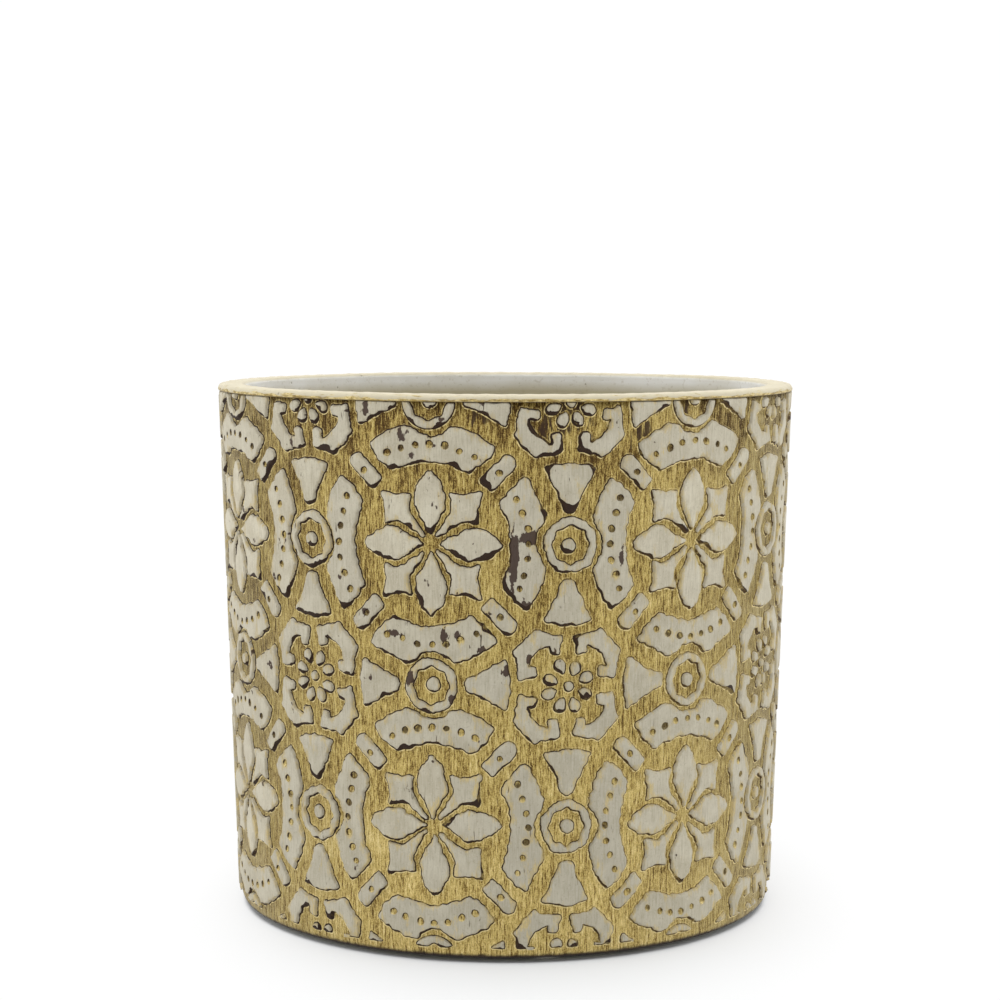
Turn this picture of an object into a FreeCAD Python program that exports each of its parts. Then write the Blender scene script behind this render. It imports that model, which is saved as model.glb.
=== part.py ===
import FreeCAD, Part
import math
import os

# Round cement planter with a tapered wall.  Raised flat islands of bare cement
# form a repeating flower tile pattern, and a thin gold coat covers the wall
# between them.  +Z is up, the origin is the middle of the plane it stands on,
# and azimuth 0 faces -Y with positive azimuth turning towards +X.

NODE_FOLDER = "parts"
SMALLEST_ISLAND = 0.4  # mm3; clipped slivers below this are dropped

doc = FreeCAD.newDocument("gold_tile_planter")

# ---------------------------------------------------------------- dimensions

DIMENSIONS = [
    # alias, value, meaning
    ("rim_radius", 70.0, "outside of the lip"),
    ("base_radius", 65.9, "outside of the island faces at the base"),
    ("wall_height", 126.1, "base plane to lip top, without the pads"),
    ("pad_height", 1.0, "thickness of a foot pad"),
    ("pad_radius", 4.0, "radius of a foot pad"),
    ("pad_circle", 58.0, "radius of the circle the pads sit on"),
    ("pad_azimuth", 8.7, "azimuth of the first pad, degrees"),
    ("pad_count", 4, "number of pads"),
    ("relief_depth", 0.8, "height of the islands above the coat"),
    ("coat_depth", 0.2, "thickness of the gold coat"),
    ("lip_depth", 1.6, "height of the plain lip above the pattern"),
    ("lip_round", 1.25, "rounding of the lip's outer edge"),
    ("mouth_round", 1.1, "rounding of the lip's inner edge"),
    ("foot_round", 1.3, "rounding of the wall's bottom edge"),
    ("coat_start", 0.5, "plain cement below the coat"),
    ("pattern_start", 2.7, "plain band below the islands"),
    ("floor_depth", 10.0, "thickness of the floor"),
    ("cavity_base_radius", 59.0, "cavity radius at the floor"),
    ("cavity_mouth_radius", 63.6, "cavity radius at the lip"),
    ("cavity_round", 6.0, "fillet between the cavity's wall and floor"),
    ("drain_radius", 6.0, "drain hole"),
    ("seat_radius", 12.0, "counterbore round the plug, wide enough for fingers"),
    ("seat_depth", 6.0, "depth of that counterbore"),
    ("plug_clearance", 0.05, "gap between plug and drain hole"),
    ("plug_taper", 0.4, "radius the shank loses to its lower end"),
    ("flange_radius", 9.5, "plug flange"),
    ("flange_depth", 1.8, "plug flange thickness"),
    ("tab_length", 6.0, "width of the plug's pull tab"),
    ("tab_depth", 2.4, "thickness of the pull tab"),
    ("tab_height", 3.8, "height of the pull tab above the flange"),
    ("tab_hole_radius", 0.8, "cord hole through the pull tab"),
    ("sector_count", 7, "repeats of the tile around the wall"),
    ("flower_azimuth", -13.8, "azimuth of the first flower column, degrees"),
    ("flower_height", 93.3, "upper flower row above the base plane"),
    ("row_pitch", 31.55, "distance between pattern rows"),
    ("pit_radius", 0.9, "small pits in the arcs and lozenges"),
]

sheet = doc.addObject("Spreadsheet::Sheet", "dimensions")
for row, (alias, value, meaning) in enumerate(DIMENSIONS, start=1):
    sheet.set("A%d" % row, meaning)
    sheet.set("B%d" % row, str(value))
    sheet.setAlias("B%d" % row, alias)
doc.recompute()


def size(alias):
    """Value of one driving dimension, in mm, degrees or pieces."""
    return float(sheet.get(alias))


def bound(kind, name, **expressions):
    """Part primitive whose properties follow spreadsheet expressions."""
    item = doc.addObject(kind, name)
    for prop, expression in expressions.items():
        item.setExpression(prop.replace("__", "."), expression)
    return item


def cut(name, base, tool):
    item = doc.addObject("Part::Cut", name)
    item.Base = base
    item.Tool = tool
    return item


def fuse(name, *shapes):
    item = doc.addObject("Part::MultiFuse", name)
    item.Shapes = list(shapes)
    return item


def circle_edges(shape, radius, height):
    """Indices of the round edges at one radius and height."""
    found = []
    for index, edge in enumerate(shape.Edges, start=1):
        curve = edge.Curve
        if not isinstance(curve, Part.Circle):
            continue
        if abs(curve.Radius - radius) < 1e-3 and abs(curve.Center.z - height) < 1e-3:
            found.append(index)
    return found


def fillet(name, base, edge_rounds):
    """Fillet of round edges given as (radius, height, rounding)."""
    doc.recompute()
    item = doc.addObject("Part::Fillet", name)
    item.Base = base
    edges = []
    for radius, height, rounding in edge_rounds:
        for index in circle_edges(base.Shape, radius, height):
            edges.append((index, rounding, rounding))
    if len(edges) != len(edge_rounds):
        raise RuntimeError("%s: edges found %d of %d" % (name, len(edges), len(edge_rounds)))
    item.Edges = edges
    doc.recompute()
    return item


BASE_Z = size("pad_height")
TOP_Z = BASE_Z + size("wall_height")

# ---------------------------------------------------------------- cement body

wall_core = bound(
    "Part::Cone", "wall_core",
    Radius1="dimensions.base_radius - dimensions.relief_depth - dimensions.coat_depth",
    Radius2="dimensions.rim_radius - dimensions.relief_depth - dimensions.coat_depth"
            " - (dimensions.rim_radius - dimensions.base_radius)"
            " * dimensions.lip_depth / dimensions.wall_height",
    Height="dimensions.wall_height - dimensions.lip_depth",
    Placement__Base__z="dimensions.pad_height",
)
wall_core_rounded = fillet(
    "wall_core_rounded", wall_core,
    [(size("base_radius") - size("relief_depth") - size("coat_depth"), BASE_Z, size("foot_round"))],
)

lip_ring = bound(
    "Part::Cylinder", "lip_ring",
    Radius="dimensions.rim_radius",
    Height="dimensions.lip_depth",
    Placement__Base__z="dimensions.pad_height + dimensions.wall_height - dimensions.lip_depth",
)
lip_rounded = fillet("lip_rounded", lip_ring, [(size("rim_radius"), TOP_Z, size("lip_round"))])

cavity_cone = bound(
    "Part::Cone", "cavity_cone",
    Radius1="dimensions.cavity_base_radius",
    Radius2="dimensions.cavity_mouth_radius",
    Height="dimensions.wall_height - dimensions.floor_depth",
    Placement__Base__z="dimensions.pad_height + dimensions.floor_depth",
)
cavity_rounded = fillet(
    "cavity_rounded", cavity_cone,
    [(size("cavity_base_radius"), BASE_Z + size("floor_depth"), size("cavity_round"))],
)

drain_hole = bound(
    "Part::Cylinder", "drain_hole",
    Radius="dimensions.drain_radius",
    Height="dimensions.floor_depth + 2",
    Placement__Base__z="dimensions.pad_height - 1",
)
plug_seat = bound(
    "Part::Cylinder", "plug_seat",
    Radius="dimensions.seat_radius",
    Height="dimensions.seat_depth + 1",
    Placement__Base__z="dimensions.pad_height + dimensions.floor_depth - dimensions.seat_depth",
)

pot_blank = fuse("pot_blank", wall_core_rounded, lip_rounded)
hollow_tool = fuse("hollow_tool", cavity_rounded, drain_hole, plug_seat)
pot_hollow = cut("pot_hollow", pot_blank, hollow_tool)
cement_body = fillet(
    "cement_body", pot_hollow,
    [(size("cavity_mouth_radius"), TOP_Z, size("mouth_round"))],
)
cement_body.Label = "cement_body"

# ---------------------------------------------------------------- gold coat

coat_outer = bound(
    "Part::Cone", "coat_outer",
    Radius1="dimensions.base_radius - dimensions.relief_depth",
    Radius2="dimensions.rim_radius - dimensions.relief_depth"
            " - (dimensions.rim_radius - dimensions.base_radius)"
            " * dimensions.lip_depth / dimensions.wall_height",
    Height="dimensions.wall_height - dimensions.lip_depth",
    Placement__Base__z="dimensions.pad_height",
)
coat_outer_rounded = fillet(
    "coat_outer_rounded", coat_outer,
    [(size("base_radius") - size("relief_depth"), BASE_Z, size("foot_round") + size("coat_depth"))],
)
coat_shell = cut("coat_shell", coat_outer_rounded, wall_core_rounded)
coat_margin = bound(
    "Part::Cylinder", "coat_margin",
    Radius="dimensions.rim_radius",
    Height="dimensions.coat_start + 1",
    Placement__Base__z="dimensions.pad_height - 1",
)
gold_coat = cut("gold_coat", coat_shell, coat_margin)
gold_coat.Label = "gold_coat"

# ---------------------------------------------------------------- relief band

relief_outer = bound(
    "Part::Cone", "relief_outer",
    Radius1="dimensions.base_radius",
    Radius2="dimensions.rim_radius",
    Height="dimensions.wall_height",
    Placement__Base__z="dimensions.pad_height",
)
relief_inner = bound(
    "Part::Cone", "relief_inner",
    Radius1="dimensions.base_radius - dimensions.relief_depth",
    Radius2="dimensions.rim_radius - dimensions.relief_depth",
    Height="dimensions.wall_height",
    Placement__Base__z="dimensions.pad_height",
)
relief_shell = cut("relief_shell", relief_outer, relief_inner)
relief_limits = bound(
    "Part::Cylinder", "relief_limits",
    Radius="dimensions.rim_radius + 5",
    Height="dimensions.wall_height - dimensions.lip_depth - dimensions.pattern_start",
    Placement__Base__z="dimensions.pad_height + dimensions.pattern_start",
)
relief_band = doc.addObject("Part::Common", "relief_band")
relief_band.Base = relief_shell
relief_band.Tool = relief_limits
doc.recompute()

# ---------------------------------------------------------------- tile pattern
#
# The pattern lives on a square lattice: one unit across is half the spacing of
# the flower columns and one unit up is one row.  Flowers stand where an even
# column meets an odd row, medallions where an odd column meets an even row,
# and rings on the other crossings.  Every outline below is drawn round its own
# crossing as runs of points: two points make a straight edge, more a spline.

ROUND_POINTS = 12


def mirrored(run):
    """The same run on the other side of the outline's axis, drawn back."""
    return [(-across, along) for across, along in reversed(run)]


def swapped(run):
    """The same run on the other side of the diagonal, drawn back."""
    return [(along, across) for across, along in reversed(run)]


def round_run(radii):
    """Closed run round the crossing, cycling through the given radii."""
    count = ROUND_POINTS if len(radii) == 1 else 16
    points = []
    for index in range(count):
        angle = 2 * math.pi * index / count
        radius = radii[index % len(radii)]
        points.append((radius * math.cos(angle), radius * math.sin(angle)))
    return points


LEAF_SIDE = [
    (0.0, 0.055), (0.032, 0.12), (0.062, 0.18), (0.098, 0.235),
    (0.112, 0.29), (0.100, 0.36), (0.066, 0.44), (0.0, 0.51),
]
LEAF = [LEAF_SIDE, mirrored(LEAF_SIDE)]

STAR_STEM = [(0.036, 0.052), (0.100, 0.135), (0.150, 0.210), (0.160, 0.270), (0.136, 0.352)]
STAR_EDGE = [(0.136, 0.352), (0.250, 0.338), (0.372, 0.372)]
STAR = [STAR_STEM, STAR_EDGE, swapped(STAR_EDGE), swapped(STAR_STEM),
        [(0.052, 0.036), (0.036, 0.052)]]

ARC_INNER = [(-0.29, 0.515), (-0.15, 0.565), (0.0, 0.585), (0.15, 0.565), (0.29, 0.515)]
ARC_END = [(0.29, 0.515), (0.40, 0.600), (0.465, 0.695)]
ARC_OUTER = [(0.465, 0.695), (0.345, 0.766), (0.210, 0.824)]
ARC_SHOULDER = [(0.210, 0.824), (0.155, 0.824)]
ARC_NOTCH = [(0.155, 0.824), (0.085, 0.773), (0.0, 0.752), (-0.085, 0.773), (-0.155, 0.824)]
ARC = [ARC_INNER, ARC_END, ARC_OUTER, ARC_SHOULDER, ARC_NOTCH,
       mirrored(ARC_SHOULDER), mirrored(ARC_OUTER), mirrored(ARC_END)]
ARC_PITS = [
    (-0.320, 0.630), (-0.215, 0.667), (-0.108, 0.696), (0.0, 0.706),
    (0.108, 0.696), (0.215, 0.667), (0.320, 0.630),
]

LOZENGE_MIDDLE = math.sqrt(0.5)
LOZENGE = [
    [(-0.050, LOZENGE_MIDDLE - 0.130), (0.050, LOZENGE_MIDDLE - 0.130)],
    [(0.050, LOZENGE_MIDDLE - 0.130), (0.052, LOZENGE_MIDDLE + 0.115)],
    [(0.052, LOZENGE_MIDDLE + 0.115), (0.012, LOZENGE_MIDDLE + 0.142)],
    [(0.012, LOZENGE_MIDDLE + 0.142), (-0.012, LOZENGE_MIDDLE + 0.142)],
    [(-0.012, LOZENGE_MIDDLE + 0.142), (-0.052, LOZENGE_MIDDLE + 0.115)],
    [(-0.052, LOZENGE_MIDDLE + 0.115), (-0.050, LOZENGE_MIDDLE - 0.130)],
]
LOZENGE_PITS = [(0.0, LOZENGE_MIDDLE)]

KEYSTONE_INNER = [(-0.055, 0.256), (0.0, 0.240), (0.055, 0.256)]
KEYSTONE_SIDE = [(0.055, 0.256), (0.100, 0.370), (0.175, 0.530)]
KEYSTONE_OUTER = [(0.175, 0.530), (0.0, 0.565), (-0.175, 0.530)]
KEYSTONE = [KEYSTONE_INNER, KEYSTONE_SIDE, KEYSTONE_OUTER, mirrored(KEYSTONE_SIDE)]

BORDER_CORNERS = [
    (0.040, 0.350), (0.195, 0.375), (0.238, 0.400), (0.300, 0.336),
]
BORDER_FINGER = [
    (0.205, 0.268), (0.130, 0.293), (0.130, 0.232), (0.066, 0.224), (0.056, 0.300),
]
BORDER_POINTS = (
    BORDER_CORNERS + swapped(BORDER_CORNERS)
    + swapped(BORDER_FINGER) + BORDER_FINGER
)
BORDER = [
    [BORDER_POINTS[index - 1], BORDER_POINTS[index]] for index in range(len(BORDER_POINTS))
]

DROP_SIDE = [(0.0, 0.088), (0.028, 0.120), (0.037, 0.152), (0.024, 0.183), (0.0, 0.192)]
DROP = [DROP_SIDE, mirrored(DROP_SIDE)]

RING_RADIUS = 0.193
RING_LOBES = [0.150, 0.133]
RING_DISC_RADIUS = 0.047
MEDALLION_DOT_RADIUS = 0.032
EIGHTH_TURN = math.pi / 4


def column_azimuth(column):
    """Azimuth in radians of a lattice column, counted from a flower column."""
    return column * math.pi / size("sector_count")


def row_height(row):
    """Height of a lattice row, row 1 being the upper flower row."""
    return BASE_Z + size("flower_height") - (row - 1) * size("row_pitch")


def face_radius(height):
    """Radius of the island faces at a height."""
    share = (height - BASE_Z) / size("wall_height")
    return size("base_radius") + share * (size("rim_radius") - size("base_radius"))


def turned(point, turn):
    """A lattice point turned round its crossing, clockwise seen from outside."""
    across, along = point
    return (
        across * math.cos(turn) + along * math.sin(turn),
        along * math.cos(turn) - across * math.sin(turn),
    )


def middle_of(runs):
    """Across-coordinate of the middle of an outline."""
    spread = [across for run in runs for across, along in run]
    return (min(spread) + max(spread)) / 2


def prism(outline, column, row, turn=0.0, pits=(), hole=None):
    """Radial prism over one island outline, reaching through the relief band."""
    runs = [[turned(point, turn) for point in run] for run in outline]
    azimuth = column_azimuth(column + middle_of(runs))
    outward = FreeCAD.Vector(math.sin(azimuth), -math.cos(azimuth), 0)
    sideways = FreeCAD.Vector(math.cos(azimuth), math.sin(azimuth), 0)
    start = outward * (size("base_radius") - 12)

    def on_wall(point):
        across, along = point
        height = row_height(row - along)
        offset = column_azimuth(column + across) - azimuth
        shift = face_radius(height) * math.sin(offset)
        return start + sideways * shift + FreeCAD.Vector(0, 0, height)

    def closed_wire(wire_runs):
        edges = []
        for run in wire_runs:
            points = [on_wall(point) for point in run]
            if len(points) == 2:
                edges.append(Part.makeLine(points[0], points[1]))
            else:
                curve = Part.BSplineCurve()
                curve.interpolate(points)
                edges.append(curve.toShape())
        return Part.Wire(edges)

    def closed_loop(points):
        curve = Part.BSplineCurve()
        curve.interpolate([on_wall(point) for point in points], PeriodicFlag=True)
        return Part.Wire([curve.toShape()])

    outer = closed_loop(runs[0]) if len(runs) == 1 else closed_wire(runs)
    solid = Part.Face(outer).extrude(outward * 24)
    if hole is not None:
        solid = solid.cut(Part.Face(closed_loop(hole)).extrude(outward * 24))
    for pit in pits:
        centre = on_wall(turned(pit, turn))
        solid = solid.cut(Part.makeCylinder(size("pit_radius"), 24, centre, outward))
    return solid


QUARTERS = [index * math.pi / 2 for index in range(4)]
DIAGONALS = [EIGHTH_TURN + turn for turn in QUARTERS]
DROPS = [EIGHTH_TURN / 2 + index * EIGHTH_TURN for index in range(8)]
FLOWERS = [(0, 1), (0, 3)]
MEDALLIONS = [(1, 0), (1, 2), (1, 4)]
UPRIGHT_RINGS = [(1, 1), (1, 3)]
LEVEL_RINGS = [(0, 0), (0, 2), (0, 4)]


def scattered(outline, crossings, turns, **extras):
    """Prisms of one outline on several crossings, turned several ways."""
    return [prism(outline, column, row, turn, **extras) for column, row in crossings for turn in turns]


ISLANDS = {
    "leaf_petals": scattered(LEAF, FLOWERS, QUARTERS),
    "star_petals": scattered(STAR, FLOWERS, QUARTERS),
    "dotted_arcs": scattered(ARC, FLOWERS, QUARTERS, pits=ARC_PITS),
    "lozenges": scattered(LOZENGE, FLOWERS, DIAGONALS, pits=LOZENGE_PITS),
    "rosette_rings": scattered(
        [round_run([RING_RADIUS])], UPRIGHT_RINGS + LEVEL_RINGS, [0.0], hole=round_run(RING_LOBES)),
    "rosette_discs": scattered([round_run([RING_DISC_RADIUS])], UPRIGHT_RINGS + LEVEL_RINGS, [0.0]),
    "keystones": (
        scattered(KEYSTONE, UPRIGHT_RINGS, [0.0, math.pi])
        + scattered(KEYSTONE, LEVEL_RINGS, [math.pi / 2, -math.pi / 2])
    ),
    "medallion_borders": scattered(BORDER, MEDALLIONS, QUARTERS),
    "medallion_drops": scattered(DROP, MEDALLIONS, DROPS),
    "medallion_dots": scattered([round_run([MEDALLION_DOT_RADIUS])], MEDALLIONS, [0.0]),
}


def ring_of_islands(prisms):
    """Prisms of one sector trimmed to the relief band and repeated round it."""
    trimmed = Part.makeCompound(prisms).common(relief_band.Shape)
    sector = [solid for solid in trimmed.Solids if solid.Volume > SMALLEST_ISLAND]
    count = int(size("sector_count"))
    around = []
    for index in range(count):
        for solid in sector:
            copy = solid.copy()
            copy.rotate(FreeCAD.Vector(0, 0, 0), FreeCAD.Vector(0, 0, 1), index * 360.0 / count)
            around.append(copy)
    return Part.makeCompound(around)


pattern_turn = FreeCAD.Rotation(FreeCAD.Vector(0, 0, 1), size("flower_azimuth"))
island_nodes = []
for name, prisms in ISLANDS.items():
    node = doc.addObject("Part::Feature", name)
    node.Shape = ring_of_islands(prisms)
    node.Placement = FreeCAD.Placement(FreeCAD.Vector(0, 0, 0), pattern_turn)
    node.Label = name
    island_nodes.append(node)

# ---------------------------------------------------------------- foot pads

pads = []
pad_count = int(size("pad_count"))
for index in range(pad_count):
    bearing = "dimensions.pad_azimuth + %g" % (index * 360.0 / pad_count)
    pads.append(bound(
        "Part::Cylinder", "pad_%d" % (index + 1),
        Radius="dimensions.pad_radius",
        Height="dimensions.pad_height",
        Placement__Base__x="dimensions.pad_circle * sin((%s) * 1deg)" % bearing,
        Placement__Base__y="-dimensions.pad_circle * cos((%s) * 1deg)" % bearing,
    ))
foot_pads = doc.addObject("Part::Compound", "foot_pads")
foot_pads.Links = pads
foot_pads.Label = "foot_pads"

# ---------------------------------------------------------------- drain plug

shank = bound(
    "Part::Cone", "plug_shank",
    Radius1="dimensions.drain_radius - dimensions.plug_clearance - dimensions.plug_taper",
    Radius2="dimensions.drain_radius - dimensions.plug_clearance",
    Height="dimensions.floor_depth - dimensions.seat_depth - 0.5",
    Placement__Base__z="dimensions.pad_height + 0.5",
)
FLANGE_Z = "dimensions.pad_height + dimensions.floor_depth - dimensions.seat_depth"
flange = bound(
    "Part::Cylinder", "plug_flange",
    Radius="dimensions.flange_radius",
    Height="dimensions.flange_depth",
    Placement__Base__z=FLANGE_Z,
)
tab = bound(
    "Part::Box", "plug_tab",
    Length="dimensions.tab_length",
    Width="dimensions.tab_depth",
    Height="dimensions.tab_height",
    Placement__Base__x="-dimensions.tab_length / 2",
    Placement__Base__y="-dimensions.tab_depth / 2",
    Placement__Base__z=FLANGE_Z + " + dimensions.flange_depth",
)
cord_hole = bound(
    "Part::Cylinder", "cord_hole",
    Radius="dimensions.tab_hole_radius",
    Height="dimensions.tab_depth + 2",
    Placement__Base__y="dimensions.tab_depth / 2 + 1",
    Placement__Base__z=FLANGE_Z + " + dimensions.flange_depth + dimensions.tab_height * 0.55",
)
cord_hole.Placement.Rotation = FreeCAD.Rotation(FreeCAD.Vector(1, 0, 0), 90)
plug_blank = fuse("plug_blank", shank, flange, tab)
drain_plug = cut("drain_plug", plug_blank, cord_hole)
drain_plug.Label = "drain_plug"

doc.recompute()

# ---------------------------------------------------------------- export

nodes = [cement_body, gold_coat] + island_nodes + [foot_pads, drain_plug]

for item in doc.Objects:
    for flag in ("Invalid", "Error"):
        if flag in item.State:
            raise RuntimeError("%s is %s" % (item.Name, flag))
for node in nodes:
    if node.Shape.isNull() or not node.Shape.isValid() or not node.Shape.Solids:
        raise RuntimeError("%s has no valid solid" % node.Label)

os.makedirs(NODE_FOLDER, exist_ok=True)
for node in nodes:
    node.Shape.exportStep(os.path.join(NODE_FOLDER, node.Label + ".step"))
    print("%-20s solids %3d  volume %10.1f" % (node.Label, len(node.Shape.Solids), node.Shape.Volume))
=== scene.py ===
import math
import random
from functools import cached_property, partialmethod

import bpy
import numpy as np
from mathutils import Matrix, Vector
from mathutils.geometry import delaunay_2d_cdt


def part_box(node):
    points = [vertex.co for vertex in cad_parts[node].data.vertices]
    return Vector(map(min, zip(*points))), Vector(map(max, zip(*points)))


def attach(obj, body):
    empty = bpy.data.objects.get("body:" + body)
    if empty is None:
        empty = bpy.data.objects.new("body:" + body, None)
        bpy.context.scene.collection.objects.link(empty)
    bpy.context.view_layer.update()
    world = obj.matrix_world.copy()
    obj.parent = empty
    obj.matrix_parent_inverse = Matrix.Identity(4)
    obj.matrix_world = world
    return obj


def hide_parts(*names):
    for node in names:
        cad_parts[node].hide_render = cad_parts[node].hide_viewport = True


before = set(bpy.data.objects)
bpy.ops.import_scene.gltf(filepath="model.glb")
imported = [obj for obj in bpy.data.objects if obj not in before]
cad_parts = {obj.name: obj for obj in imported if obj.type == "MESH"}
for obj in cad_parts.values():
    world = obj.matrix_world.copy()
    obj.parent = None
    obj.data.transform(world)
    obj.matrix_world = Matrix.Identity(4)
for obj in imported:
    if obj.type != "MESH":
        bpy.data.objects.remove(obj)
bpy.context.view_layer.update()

# Lengths are millimetres until a mesh or a material is made.  +Z is up, azimuth 0
# faces -Y and positive azimuth turns towards +X.
MM = 0.001

body_low, body_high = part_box("cement_body")
BASE_Z = body_low.z / MM
TOP_Z = body_high.z / MM
RIM_RADIUS = (body_high.x - body_low.x) / 2 / MM
BASE_RADIUS = 65.9
RELIEF = 0.8
COAT = 0.2
LIP_DEPTH = 1.6
PATTERN_START = 2.7

SECTORS = 7
FLOWER_AZIMUTH = math.radians(-13.8)
FLOWER_HEIGHT = 93.3
ROW_PITCH = 31.55
WALL_SPAN = 68.0  # radius at which across-wall lengths are true
HALF_COLUMN = WALL_SPAN * math.pi / SECTORS
PATTERN_LOW = BASE_Z + PATTERN_START
PATTERN_HIGH = TOP_Z - LIP_DEPTH


# ---- helpers

def ground_radius(height):
    share = (height - BASE_Z) / (TOP_Z - BASE_Z)
    return BASE_RADIUS - RELIEF + share * (RIM_RADIUS - BASE_RADIUS)


def wall_points(flat, rise):
    """Points on the wall from (across, height) pairs and their rise off the ground."""
    azimuth = flat[:, 0] / WALL_SPAN
    radius = ground_radius(flat[:, 1]) + rise
    return np.column_stack([radius * np.sin(azimuth), -radius * np.cos(azimuth), flat[:, 1]])


def round_points(sides):
    """Points anticlockwise round a unit circle, and their angles."""
    angles = np.arange(sides) * 2 * math.pi / sides
    return np.column_stack([np.cos(angles), np.sin(angles)]), angles


def band(faces, outer, inner, count):
    """Quads between two closed rows of points."""
    for index in range(count):
        after = (index + 1) % count
        faces.append((outer + index, outer + after, inner + after, inner + index))


def fan(faces, row, tip, count, order=1):
    """Triangles from a closed row to a tip; order -1 turns them over."""
    for index in range(count):
        faces.append((row + index, row + (index + 1) % count)[::order] + (tip,))


def set_all(thing, **values):
    for key, value in values.items():
        setattr(thing, key, value)
    return thing


def link_object(name, data, **values):
    obj = set_all(bpy.data.objects.new(name, data), **values)
    bpy.context.scene.collection.objects.link(obj)
    return obj


def make_object(name, points, faces, material, body, replaced, slot, values=None):
    """Mesh object riding on a CAD body in place of a CAD node."""
    mesh = bpy.data.meshes.new(name)
    mesh.from_pydata((np.asarray(points) * MM).tolist(), [], faces)
    for key, numbers in (values or {}).items():
        layer = mesh.attributes.new(key, "FLOAT", "POINT")
        layer.data.foreach_set("value", np.asarray(numbers, dtype=np.float32))
    mesh.polygons.foreach_set("use_smooth", [True] * len(mesh.polygons))
    mesh.materials.append(material)
    mesh.validate()
    mesh.update()
    obj = link_object(name, mesh)
    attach(obj, body)
    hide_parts(replaced)


def wave_sum(rng, waves, position):
    """Wobble along a closed loop: waves are (wavelengths per loop, size)."""
    total = np.zeros_like(position)
    for cycles, amount in waves:
        for _ in range(3):
            turns = max(1, round(cycles * rng.uniform(0.7, 1.4)))
            total += amount / 3 * np.sin(2 * math.pi * (turns * position + rng.random()))
    return total


# ---- tile outlines
#
# Lattice units: one across is half the spacing of the flower columns, one up
# is a row.  Runs of two points are straight, longer ones are curves.

def mirrored(run):
    return [(-across, along) for across, along in reversed(run)]


def swapped(run):
    return [(along, across) for across, along in reversed(run)]


def polygon(points):
    """Straight runs between corners."""
    return [[points[index - 1], points[index]] for index in range(len(points))]


def ring_outline(radii, count):
    circle, _ = round_points(count)
    points = [tuple(point * radii[index % len(radii)]) for index, point in enumerate(circle)]
    return [points + points[:1]]


LEAF_SIDE = [
    (0.0, 0.055), (0.032, 0.12), (0.062, 0.18), (0.098, 0.235),
    (0.112, 0.29), (0.1, 0.36), (0.066, 0.44), (0.0, 0.51),
]
LEAF = [LEAF_SIDE, mirrored(LEAF_SIDE)]

STAR_STEM = [(0.036, 0.052), (0.1, 0.135), (0.15, 0.21), (0.16, 0.27), (0.136, 0.352)]
STAR_EDGE = [(0.136, 0.352), (0.25, 0.343), (0.368, 0.368)]
STAR = [STAR_STEM, STAR_EDGE, swapped(STAR_EDGE), swapped(STAR_STEM), [(0.052, 0.036), (0.036, 0.052)]]

ARC_INNER = [(-0.29, 0.515), (-0.15, 0.565), (0.0, 0.585), (0.15, 0.565), (0.29, 0.515)]
ARC_END = [(0.29, 0.515), (0.4, 0.6), (0.465, 0.695)]
ARC_OUTER = [(0.465, 0.695), (0.345, 0.766), (0.21, 0.824)]
ARC_SHOULDER = [(0.21, 0.824), (0.155, 0.824)]
ARC_NOTCH = [(0.155, 0.824), (0.085, 0.773), (0.0, 0.752), (-0.085, 0.773), (-0.155, 0.824)]
ARC = [ARC_INNER, ARC_END, ARC_OUTER, ARC_SHOULDER, ARC_NOTCH,
       mirrored(ARC_SHOULDER), mirrored(ARC_OUTER), mirrored(ARC_END)]
ARC_PITS = [
    (-0.32, 0.63), (-0.215, 0.667), (-0.108, 0.696), (0.0, 0.706),
    (0.108, 0.696), (0.215, 0.667), (0.32, 0.63),
]

LOZENGE_MIDDLE = math.sqrt(0.5)
LOZENGE = polygon([(across, LOZENGE_MIDDLE + along) for across, along in (
    (-0.054, -0.134), (0.054, -0.134), (0.056, 0.118), (0.014, 0.144), (-0.014, 0.144), (-0.056, 0.118))])

KEYSTONE_INNER = [(-0.042, 0.252), (0.0, 0.24), (0.042, 0.252)]
KEYSTONE_SIDE = [(0.042, 0.252), (0.088, 0.37), (0.18, 0.536)]
KEYSTONE_OUTER = [(0.18, 0.536), (0.0, 0.565), (-0.18, 0.536)]
KEYSTONE = [KEYSTONE_INNER, KEYSTONE_SIDE, KEYSTONE_OUTER, mirrored(KEYSTONE_SIDE)]

BORDER_CORNERS = [(0.04, 0.35), (0.195, 0.375), (0.238, 0.4), (0.3, 0.336)]
BORDER_FINGER = [(0.205, 0.268), (0.13, 0.293), (0.13, 0.232), (0.066, 0.224), (0.056, 0.3)]
BORDER = polygon(BORDER_CORNERS + swapped(BORDER_CORNERS) + swapped(BORDER_FINGER) + BORDER_FINGER)

DROP_SIDE = [(0.0, 0.088), (0.028, 0.12), (0.037, 0.152), (0.024, 0.183), (0.0, 0.192)]
DROP = [DROP_SIDE, mirrored(DROP_SIDE)]

RING = ring_outline([0.193], 24)
RING_HOLE = ring_outline([0.15, 0.133], 16)
DISC = ring_outline([0.047], 12)
DOT = ring_outline([0.032], 10)

EIGHTH_TURN = math.pi / 4
QUARTERS = [index * 2 * EIGHTH_TURN for index in range(4)]
DIAGONALS = [EIGHTH_TURN + turn for turn in QUARTERS]
DROP_TURNS = [EIGHTH_TURN / 2 + index * EIGHTH_TURN for index in range(8)]


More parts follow.
